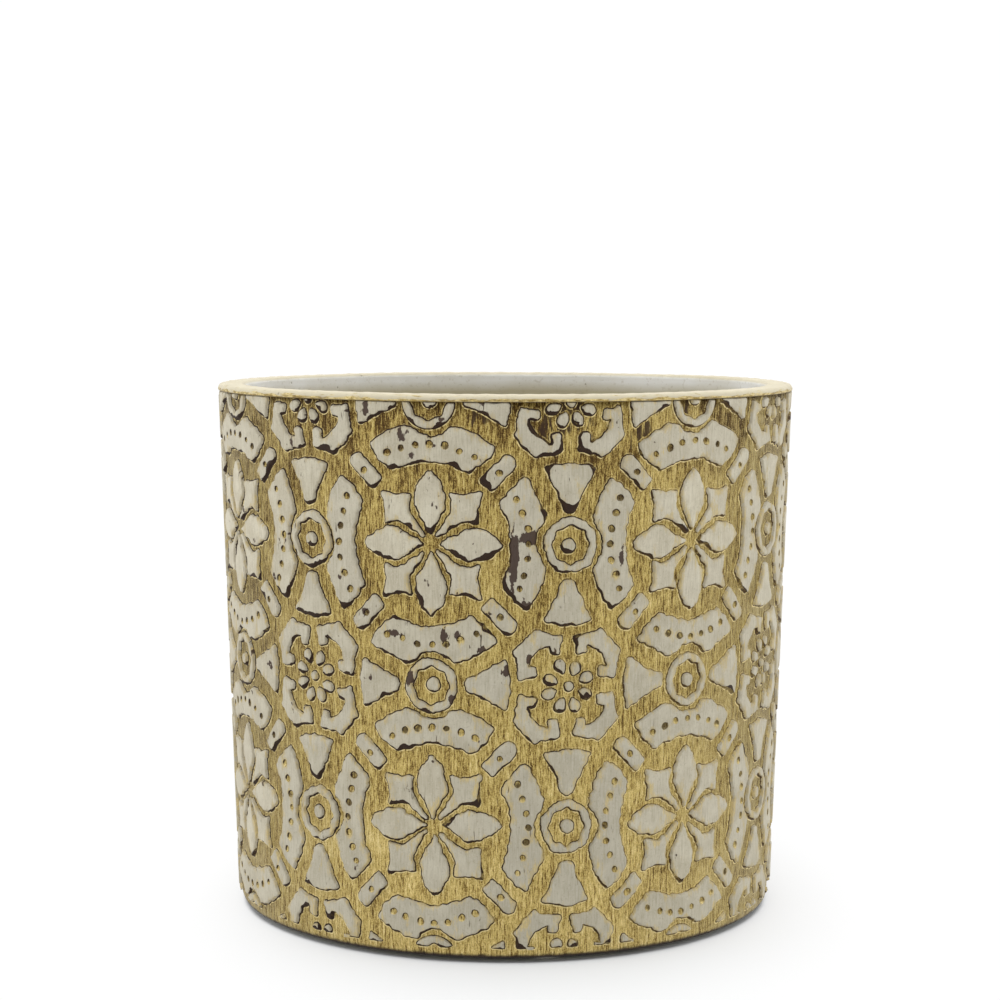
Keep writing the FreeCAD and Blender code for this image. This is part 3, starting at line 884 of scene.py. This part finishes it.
def island_material():
    """Bare cement on top, thin umber outline, gold on the skirt and in the pits."""
    graph = new_graph("bare_cement_island")
    dirt = umber_share(graph)
    gold, metal, rough, streak = gold_layers(graph, dirt)
    edge, cover, rim, down, tone, stained, pale = (
        graph.attribute(name) for name in ("edge", "cover", "rim", "down", "tone", "stain", "pale"))
    ragged = (graph.noise(1500.0) - 0.5) * 0.5
    rim_ragged = rim + ragged * 0.45
    bare = (cover + ragged * 0.6).span(-0.12, -0.05) * rim_ragged.span(-0.12, -0.03)

    # pits: a thin dark crescent on the upper side of the wall, painted shadow from the wall above; some pits
    # are also filled with real umber; gold elsewhere
    pit_side = down + (graph.noise(650.0, 2.0) - 0.5) * 2.6
    pit_shadow_and_umber = pit_side.span(-0.9, 0.1) * rim_ragged.span(-0.4, -0.26) * dirt.span(0.0, 0.4, 0.6, 1.0)
    pit_shadow_and_umber = pit_shadow_and_umber.at_least(graph.noise(240.0, 2.0, 0.5).span(0.5, 0.6, 0.0, 0.75))
    in_pit = rim.span(0.05, 0.3, 1.0, 0.0)

    # outline: thin umber line at the foot of the side, broken up where little is left
    skirt = edge + ragged * 0.4 + dirt * 0.07
    kept = graph.noise(330.0) + dirt * 0.3 + down * 0.08
    kept = kept.span(0.42, 0.6, 0.35, 1.0).at_least(edge.span(0.1, 0.3))
    gilded = 1.0 - graph.mix(in_pit, skirt.span(-0.35, -0.25) * kept, pit_shadow_and_umber)

    # painted highlight: bright gold glints just outside the edges, most below them, and on the lower side of
    # the pits
    glint = skirt.span(-0.66, -0.5) * skirt.span(-0.36, -0.25, 1.0, 0.0) * down.span(-0.4, 0.5, 0.3, 1.0)
    pit_glint = in_pit * down.span(-0.7, 0.0, 1.0, 0.0) * rim.span(-0.65, -0.35, 0.0, 0.55)
    glint = glint.at_least(pit_glint) * graph.noise(900.0, 2.0).span(0.4, 0.54)
    gold = graph.mix(glint * 0.9, gold, GOLD_GLINT)

    umber = graph.mix(graph.noise(800.0, 2.0, 0.5), DEEP_UMBER_AND_SHADOW, UMBER)
    thin = dirt.span(0.08, 0.4, 0.75, 0.0) * edge.span(0.05, 0.25, 1.0, 0.0)
    under = graph.mix(gilded, graph.mix(thin, umber, UMBER_PALE), gold)

    # cement face: clouding, upright scratches, specks, short cracks, gilt rubbed on near the edges
    speck = graph.noise(2600.0, 1.0, 0.5)
    scratch = graph.noise(3000.0, 2.0, stretch=0.09)
    cloud = graph.noise(190.0, 4.0).span(0.35, 0.68)
    face = graph.mix(cloud, CEMENT_FACE_DARK, CEMENT_FACE)
    for share, mark in (
            (tone * 0.35, shade(184, 178, 161)),
            (scratch.span(0.34, 0.5, 0.3, 0.0), shade(148, 139, 117)),
            (scratch.span(0.54, 0.7, 0.0, 0.28), shade(206, 201, 184)),
            (speck.span(0.62, 0.74, 0.0, 0.25), shade(212, 206, 190)),
            (speck.span(0.28, 0.38, 0.3, 0.0), shade(132, 124, 104))):
        face = graph.mix(share, face, mark)
    # painted shade: the faces darken towards the bottom of the pot; pale adds each kind's own tone
    painted_shade_and_tone = graph.height.span(0.03, 0.105, 0.93, 1.02, smooth=False) * pale
    face = graph.tinted(face, painted_shade_and_tone, painted_shade_and_tone, painted_shade_and_tone)
    crack = graph.noise(1900.0, 2.0, 0.5, 0.5, stretch=0.16).span(0.66, 0.7)
    crack = crack * graph.noise(210.0, 1.0, 0.5).span(0.56, 0.62) * dirt.span(0.05, 0.5, 0.25, 1.0)
    near_edge = edge.span(0.0, 1.6, 0.16, 0.0, smooth=False)
    near_pit = rim.span(0.0, 0.7, 0.12, 0.0, smooth=False)
    rubbed = graph.noise(420.0, 4.0, 0.65, stretch=0.35) + near_edge.at_least(near_pit) - dirt * 0.05
    rubbed = rubbed.span(0.56, 0.72) * streak.span(0.4, 0.58, 0.3, 0.75)
    face = graph.mix(rubbed, face, graph.mix(0.5, GOLD_DUST, gold))
    stain = stained + (graph.noise(900.0, 3.0, 0.65, stretch=0.45) - 0.5) * 1.5
    loose = graph.noise(260.0, stretch=0.7) + dirt * 0.1
    stain = stain.span(0.42, 0.5).at_least(loose.span(0.74, 0.77))
    face = graph.mix(stain * 0.92, face, STAIN)
    face = graph.mix(crack * 0.85, face, UMBER)

    covered = 1.0 - bare
    relief = graph.noise(1300.0) * 0.25 + bare * 0.4 + streak * covered * 0.9
    relief = relief + scratch * 0.25 - crack * 0.6
    gold_shine = streak.span(0.37, 0.47) * gilded
    shine = bare.span(0.0, 1.0, gold_shine, 1.0 - stain.at_least(crack), smooth=False)
    return graph.painted(shine, relief, 0.0002, **{
        "Base Color": graph.mix(bare, under, face), "Metallic": metal * gilded * covered,
        "Roughness": bare * 0.72 + covered * rough})


def cement_material():
    """Smooth cast cement: cream at the lip, painted light high inside and painted shade further down inside,
    gilt along the lip's lower edge.
    """
    graph = new_graph("smooth_cast_cement")
    height, radius = graph.height, graph.radius
    fine = graph.noise(900.0)
    pore = graph.node("TexVoronoi", {"Vector": graph.place, "Scale": 420.0}, "Distance")
    holes = pore.span(0.06, 0.16, 1.0, 0.0) * graph.noise(300.0, 1.0, 0.5).span(0.6, 0.66)
    # painted light and shade: the inside is near-white just below the lip and darker further down the cavity
    painted_inside_light = height + (graph.noise(30.0, stretch=3.0) - 0.5) * 0.003
    painted_inside_light = painted_inside_light.span((TOP_Z - 5.0) * MM, (TOP_Z - 2.0) * MM, smooth=False)
    lip = radius.span((RIM_RADIUS - 5.6) * MM, (RIM_RADIUS - 3.5) * MM)
    lip = lip.at_least(height.span((TOP_Z - 0.9) * MM, (TOP_Z - 0.2) * MM))
    color = graph.mix(painted_inside_light, CEMENT_INSIDE, CEMENT_INSIDE_PAINTED_LIGHT)
    for share, mark in (
            (lip, CEMENT_LIP),
            (graph.noise(45.0, 4.0, 0.55).span(0.35, 0.7, 0.0, 0.3), shade(180, 170, 142)),
            (fine.span(0.3, 0.44, 0.3, 0.0), shade(160, 148, 120)),
            (holes * 0.6, shade(128, 116, 94))):
        color = graph.mix(share, color, mark)

    gold, metal, _, _ = gold_layers(graph, 0.0)
    outside = radius.span((RIM_RADIUS - 1.1) * MM, (RIM_RADIUS - 0.4) * MM)
    wipe = graph.noise(620.0, 2.0, stretch=4.0)
    low_lip = height.span((TOP_Z - 1.5) * MM, (TOP_Z - 0.5) * MM, 0.32, 0.0)
    gilt = (graph.noise(210.0, stretch=6.0) + low_lip).span(0.56, 0.7) * outside
    pale_gold = graph.mix(wipe.span(0.38, 0.6), GOLD_SHADOW, GOLD_GLINT)
    color = graph.mix(gilt, color, graph.mix(0.35, pale_gold, gold))
    edge_dark = height.span((PATTERN_HIGH + 0.02) * MM, (PATTERN_HIGH + 0.3) * MM, 1.0, 0.0)
    color = graph.mix(edge_dark * wipe.span(0.4, 0.55, 0.2, 1.0) * outside, color, UMBER)
    # painted shadow: the foot's rounding is darkened where the pot's contact shadow falls
    foot = height.span((BASE_Z + 1.2) * MM, (BASE_Z + 1.7) * MM, 1.0, 0.0)
    foot = foot * radius.span((BASE_RADIUS - 3.5) * MM, (BASE_RADIUS - 2.2) * MM)
    return graph.surface(fine * 0.4 - holes, 0.00016, 0.7, **{
        "Base Color": graph.mix(foot, color, DEEP_UMBER_AND_SHADOW), "Metallic": gilt * metal * 0.8,
        "Roughness": fine.span(0.3, 0.7, 0.5, 0.64)})


def felt_material():
    graph = new_graph("pale_felt")
    fibre = graph.noise(3200.0, 4.0, 0.7, 1.5)
    color = graph.ramp(fibre, [
        (0.3, shade(186, 180, 168)), (0.55, shade(222, 218, 208)), (0.75, shade(240, 238, 232))])
    color = graph.mix(graph.noise(400.0, 3.0, 0.5).span(0.4, 0.7, 0.0, 0.3), color, shade(176, 166, 148))
    return graph.surface(fibre, 0.0003, 0.8, **{
        "Base Color": color, "Roughness": 0.95, "Sheen Weight": 0.3})


def rubber_material():
    graph = new_graph("dark_rubber")
    fine = graph.noise(2600.0)
    dust = graph.noise(240.0, 4.0).span(0.45, 0.75, 0.0, 0.5)
    return graph.surface(fine, 0.00012, 0.6, **{
        "Base Color": graph.mix(dust, shade(58, 56, 54), shade(104, 100, 94)),
        "Roughness": fine.span(0.3, 0.7, 0.55, 0.75)})


# ---- pieces

FLOOR_Z = BASE_Z + 10.0
CAVITY_FOOT, CAVITY_FLARE = 59.0, 4.6  # radius at the floor, and how much wider it is at the lip
FLOOR_FILLET = 6.0
LIP_OUTER_ROUND, LIP_INNER_ROUND = 1.25, 1.1
LIP_INNER_CENTRE = 64.66
RECESS_RADIUS, RECESS_ROUND = 12.0, 0.5
HOLE_RADIUS = 6.0
SEAT_Z = BASE_Z + 4.0
FLANGE_RADIUS, FLANGE_THICK = 9.5, 1.8
TAB_HEIGHT, TAB_HALF, TAB_HOLE = 3.8, 1.2, 0.8
PAD_CIRCLE, PAD_AZIMUTH, PAD_SIDES = 58.0, math.radians(8.7), 56


def revolve(profile, sides, wobble=None, middle=(0.0, 0.0)):
    """Body of revolution: its profile is a loop, or has both ends on the axis."""
    profile = np.array(profile, dtype=float)
    azimuths = np.arange(sides) * 2 * math.pi / sides
    closed = profile[0, 0] > 1e-6
    rows = profile if closed else profile[1:-1]
    radius, height = (np.repeat(rows[:, [axis]], sides, axis=1) for axis in (0, 1))
    if wobble:
        radius, height = wobble(azimuths, radius, height)
    points = np.stack([middle[0] + radius * np.sin(azimuths), middle[1] - radius * np.cos(azimuths), height],
                      axis=2).reshape(-1, 3).tolist()
    faces = []
    for row in range(len(rows) - 1):
        band(faces, row * sides, (row + 1) * sides, sides)
    last = (len(rows) - 1) * sides
    if closed:
        band(faces, last, 0, sides)
        return points, faces
    for row, tip, order in ((0, profile[0], -1), (last, profile[-1], 1)):
        fan(faces, row, len(points), sides, order)
        points.append((middle[0], middle[1], float(tip[1])))
    return points, faces


def arc(centre_radius, centre_height, radius, start, end, count):
    """Profile points on an arc, angles in degrees from straight outwards."""
    angles = [math.radians(degrees) for degrees in np.linspace(start, end, count)]
    return [(centre_radius + radius * math.cos(angle), centre_height + radius * math.sin(angle))
            for angle in angles]


def ripple(rng, turns, drift, azimuths, height):
    return np.sin(turns * azimuths + rng.uniform(-drift, drift) * height + rng.random() * 6.3)


def coat_grooves(azimuths, radius, height):
    """Upright brush grooves on the coat's outer rows."""
    rng = random.Random("grooves")
    outer = radius > ground_radius(height) - COAT * 0.5
    groove = sum(
        amount / 2 * ripple(rng, round(cycles * rng.uniform(0.75, 1.3)), 0.08, azimuths, height)
        for cycles, amount in ((90, 0.012), (230, 0.014), (520, 0.012)) for _ in range(5))
    return radius + np.where(outer, groove - 0.01, 0.0), height


def coat_profile():
    bend = 1.5
    centre = ground_radius(BASE_Z) - bend
    profile = [(centre + bend * math.cos(math.radians(degrees)),
                BASE_Z + bend * (1 + math.sin(math.radians(degrees)))) for degrees in (-42, -28, -14, -4)]
    profile += [(ground_radius(height), height)
                for height in np.linspace(BASE_Z + bend + 0.4, PATTERN_HIGH, 34)]
    profile += [(ground_radius(height) - COAT, height) for height in (PATTERN_HIGH, BASE_Z + bend + 0.5)]
    foot = BASE_Z + 0.5
    return profile + [(ground_radius(foot) - COAT - 0.42, foot + 0.02)]


def body_profile():
    """Up the outside, over the lip, down the cavity and out along the underside."""
    profile = arc(ground_radius(BASE_Z) - COAT - 1.3, BASE_Z + 1.3, 1.3, -90, 0, 6)
    for height in (BASE_Z + 20, BASE_Z + 50, BASE_Z + 80, BASE_Z + 105, PATTERN_HIGH):
        profile.append((ground_radius(height) - COAT, height))
    profile += [(RIM_RADIUS - 0.75, PATTERN_HIGH), (RIM_RADIUS - 0.12, PATTERN_HIGH + 0.02),
                (RIM_RADIUS, PATTERN_HIGH + 0.14)]
    profile += arc(RIM_RADIUS - LIP_OUTER_ROUND, TOP_Z - LIP_OUTER_ROUND, LIP_OUTER_ROUND, 0, 90, 9)
    profile += [(radius, TOP_Z) for radius in np.linspace(RIM_RADIUS - 2.2, 65.2, 4)]
    profile += arc(LIP_INNER_CENTRE, TOP_Z - LIP_INNER_ROUND, LIP_INNER_ROUND, 90, 178, 8)
    for share in np.linspace(0.02, 0.98, 26):
        height = TOP_Z - 1.5 - share * (TOP_Z - 1.5 - FLOOR_Z - 6.2)
        profile.append((CAVITY_FOOT + (height - FLOOR_Z) / (TOP_Z - FLOOR_Z) * CAVITY_FLARE, height))
    profile += arc(CAVITY_FOOT + 0.1 - FLOOR_FILLET, FLOOR_Z + FLOOR_FILLET, FLOOR_FILLET, 0, -90, 9)
    profile += [(radius, FLOOR_Z) for radius in (46, 38, 30, 22, 15)]
    profile += arc(RECESS_RADIUS + RECESS_ROUND, FLOOR_Z - RECESS_ROUND, RECESS_ROUND, 90, 180, 4)
    profile += [(RECESS_RADIUS, FLOOR_Z - 3.0), (RECESS_RADIUS, SEAT_Z + 0.3), (RECESS_RADIUS - 0.3, SEAT_Z),
                (8.0, SEAT_Z), (HOLE_RADIUS + 0.3, SEAT_Z), (HOLE_RADIUS, SEAT_Z - 0.3),
                (HOLE_RADIUS, BASE_Z + 2.0), (HOLE_RADIUS, BASE_Z + 0.4), (HOLE_RADIUS + 0.4, BASE_Z)]
    return profile + [(radius, BASE_Z) for radius in (12, 24, 36, 50, 60)]


def cast_unevenness(azimuths, radius, height):
    """Slow waves that a cast wall has, kept off the faces that other pieces touch."""
    rng = random.Random("cast wall")
    slow = sum(0.045 * ripple(rng, rng.choice([2, 3, 4, 5, 7, 9, 14, 23]), 0.06, azimuths, height)
               for _ in range(7))
    fine = sum(0.012 * ripple(rng, rng.choice([31, 47, 62, 88, 120]), 0.3, azimuths, height)
               for _ in range(8))
    cavity = (height > FLOOR_Z + 1) & (radius < ground_radius(height) - 2.0)
    lip = height > TOP_Z - 1.45
    return (radius + np.where(cavity | lip, slow + fine, 0.0),
            height + np.where(lip, 0.5 * slow + 1.2 * fine, 0.0))


def foot_pads(material):
    rng = random.Random("pads")

    def rough_rim(azimuths, radius, height):
        for row in radius:
            if row[0] > 3.5:
                row += [rng.uniform(-0.05, 0.05) for _ in azimuths]
        return radius, height

    profile = [(0.0, 0.0), (1.6, 0.0), (3.2, 0.0), (3.75, 0.03), (3.95, 0.18), (4.0, 0.45),
               (3.97, 0.78), (3.85, BASE_Z - 0.02), (3.0, BASE_Z), (1.5, BASE_Z), (0.0, BASE_Z)]
    points, faces = [], []
    for quarter in QUARTERS:
        azimuth = PAD_AZIMUTH + quarter
        middle = (PAD_CIRCLE * math.sin(azimuth), -PAD_CIRCLE * math.cos(azimuth))
        more, more_faces = revolve(profile, PAD_SIDES, rough_rim, middle)
        faces += [tuple(corner + len(points) for corner in face) for face in more_faces]
        points += more
    make_object("felt_pads", points, faces, material, "pot", "foot_pads", "pad_felt")


def stopper_profile():
    low, top = BASE_Z + 0.5, SEAT_Z + FLANGE_THICK
    profile = [(0.0, low), (3.0, low), (5.2, low), (5.5, low + 0.12), (5.6, low + 0.4), (5.75, low + 1.8),
               (5.9, SEAT_Z - 0.35), (5.95, SEAT_Z + 0.02), (8.6, SEAT_Z + 0.02)]
    profile += arc(FLANGE_RADIUS - 0.4, SEAT_Z + 0.42, 0.4, -90, 0, 4)
    profile += arc(FLANGE_RADIUS - 0.6, top - 0.6, 0.6, 0, 90, 6)
    return profile + [(6.0, top), (5.2, top - 0.14), (4.4, top - 0.14), (3.8, top), (0.0, top)]


def pull_tab(material):
    """Small upright tab with a cord hole, standing on the plug's flange."""
    foot = SEAT_Z + FLANGE_THICK
    corner = foot + TAB_HEIGHT - 1.4
    outline = [(-3.0, foot - 0.1), (3.0, foot - 0.1)] + arc(1.6, corner, 1.4, 0, 90, 7)
    outline = even_loop(np.array(outline + arc(-1.6, corner, 1.4, 90, 180, 7)), 0.25)
    normals = blurred(loop_normals(outline))
    hole_middle = np.array([0.0, foot + TAB_HEIGHT * 0.55])
    circle, _ = round_points(20)
    points, faces = [], []

    def layer(flat, depth):
        points.extend((x, depth, z) for x, z in flat)
        return len(points) - len(flat)

    layers = [(-TAB_HALF, 0.28), (-1.12, 0.08), (-0.9, 0.0), (0.9, 0.0), (1.12, 0.08), (TAB_HALF, 0.28)]
    outer = [layer(outline - normals * inset, depth) for depth, inset in layers]
    inner = [layer(hole_middle + circle * (TAB_HOLE + inset), depth) for depth, inset in layers]
    for index in range(len(layers) - 1):
        band(faces, outer[index + 1], outer[index], len(outline))
        band(faces, inner[index], inner[index + 1], len(circle))
    rim = outline - normals * layers[0][1]
    gap = hole_middle + circle * (TAB_HOLE + layers[0][1])
    _, triangles = filled(rim, [gap], np.zeros((0, 2)))
    for side, step in ((0, 1), (-1, -1)):
        places = [outer[side] + index for index in range(len(rim))]
        places += [inner[side] + index for index in range(len(gap))]
        faces += [tuple(places[corner] for corner in triangle[::step]) for triangle in triangles.tolist()]
    make_object("plug_pull_tab", points, faces, material, "drain_plug", "drain_plug", "plug_rubber")


island = island_material()
rubber = rubber_material()

make_object("cast_shell", *revolve(body_profile(), 540, cast_unevenness), cement_material(),
            "pot", "cement_body", "cement")
make_object("brushed_gold_ground", *revolve(coat_profile(), 1440, coat_grooves), gold_ground_material(),
            "pot", "gold_coat", "gold_paint")

for name, outline, crossings, turns, extras in (
        ("leaf_petals", LEAF, FLOWERS, QUARTERS, dict(pale=1.09, wear=0.4)),
        ("star_petals", STAR, FLOWERS, QUARTERS, dict(pale=1.07, wear=0.3)),
        ("dotted_arcs", ARC, FLOWERS, QUARTERS, dict(pits=ARC_PITS, wear=0.4)),
        ("lozenges", LOZENGE, FLOWERS, DIAGONALS, dict(pits=[(0.0, LOZENGE_MIDDLE)], wear=0.4)),
        ("rosette_rings", RING, RINGS, [0.0], dict(hole=RING_HOLE, wear=0.3)),
        ("rosette_discs", DISC, RINGS, [0.0], dict(wear=0.3)),
        ("keystones", KEYSTONE, RINGS, keystone_turns, dict(wear=0.5)),
        ("medallion_borders", BORDER, MEDALLIONS, QUARTERS, dict(wear=0.5)),
        ("medallion_drops", DROP, MEDALLIONS, DROP_TURNS, dict(wear=0.5)),
        ("medallion_dots", DOT, MEDALLIONS, [0.0], dict(wear=0.4))):
    island_piece(name, island, outline, crossings, turns, **extras)

foot_pads(felt_material())
make_object("plug_stopper", *revolve(stopper_profile(), 96), rubber,
            "drain_plug", "drain_plug", "plug_rubber")
pull_tab(rubber)


# ---- studio

FLOOR_HALF = 4.0
BACKDROP = 1.02  # how bright the camera sees the backdrop and the far floor
FRONT_LIGHT = 0.42  # strength of the room on the camera's side
BACK_LIGHT = 1.25  # strength of the white backdrop


def floor_material():
    """White paper sweep: diffuse paper, shaded near the pot, blending into an evenly bright glowing sweep
    further out.
    """
    graph = new_graph("white_studio_floor")
    color = graph.mix(graph.noise(3.0, 2.0, 0.5), shade(223, 225, 227), shade(228, 230, 232))
    paper = graph.node("BsdfDiffuse", {"Color": color})
    sweep = graph.node("Emission", {"Color": WHITE, "Strength": BACKDROP})
    # painted light: the glow also reaches in near the pot and lifts its shadow, more at the sides than in
    # front and slightly more on the left; none under the pot
    wide = graph.vector_maths("MULTIPLY_ADD", graph.place, (2.0, 1.0, 1.0), (-0.01, 0.0, 0.0))
    reach = graph.vector_maths("LENGTH", wide)
    beyond = graph.radius.span((BASE_RADIUS - 2.2) * MM, (BASE_RADIUS - 0.6) * MM)
    bright = beyond * reach.span(0.06, 0.19, 0.26, 1.0)
    return graph.finish(graph.node("MixShader", {0: bright, 1: paper, 2: sweep}))


floor_mesh = bpy.data.meshes.new("studio_floor")
corners = [(x * FLOOR_HALF, y * FLOOR_HALF, 0) for x, y in ((-1, -1), (1, -1), (1, 1), (-1, 1))]
floor_mesh.from_pydata(corners, [], [(0, 1, 2, 3)])
floor_mesh.materials.append(floor_material())
link_object("studio_floor", floor_mesh)

world = bpy.data.worlds.new("studio")
bpy.context.scene.world = world
room = Graph(world, "World")
seen = room.node("Background", {"Color": WHITE, "Strength": BACKDROP})
towards_back = room.split(room.node("TexCoord", output="Generated"))[1]
lit = room.node("Background", {
    "Color": (1.0, 1.0, 0.99, 1.0),
    "Strength": towards_back.span(-0.8, 0.7, FRONT_LIGHT, BACK_LIGHT, smooth=False)})
by_camera = room.node("LightPath", output="Is Camera Ray")
room.finish(room.node("MixShader", {0: by_camera, 1: lit, 2: seen}))

POT_MIDDLE = Vector((0.0, 0.0, 0.07))
for name, place, width, height, power in (
        ("left_box", (-0.95, -0.25, 0.42), 0.6, 0.9, 2.6),
        ("right_box", (0.95, -0.2, 0.42), 0.6, 0.9, 1.9),
        ("top_box", (0.0, -0.15, 1.1), 1.0, 1.0, 7.0)):
    lamp = bpy.data.lights.new(name, "AREA")
    set_all(lamp, shape="RECTANGLE", size=width, size_y=height, energy=power)
    aim = (POT_MIDDLE - Vector(place)).to_track_quat("-Z", "Y").to_euler()
    link_object(name, lamp, location=place, rotation_euler=aim)

# The camera was fitted to the photograph's outline and pattern.
CAMERA_DISTANCE = 0.5801
CAMERA_HEIGHT = (BASE_Z + 149.6) * MM
CAMERA_PITCH = math.radians(5.18)
CAMERA_ROLL = math.radians(-0.1)
camera_data = set_all(
    bpy.data.cameras.new("camera"), sensor_width=36.0, lens=85.0, shift_x=-0.0054, clip_start=0.01)
bpy.context.scene.camera = link_object(
    "camera", camera_data, location=(0.0, -CAMERA_DISTANCE, CAMERA_HEIGHT),
    rotation_euler=(math.pi / 2 - CAMERA_PITCH, CAMERA_ROLL, 0.0))
bpy.context.scene.view_settings.view_transform = "Standard"
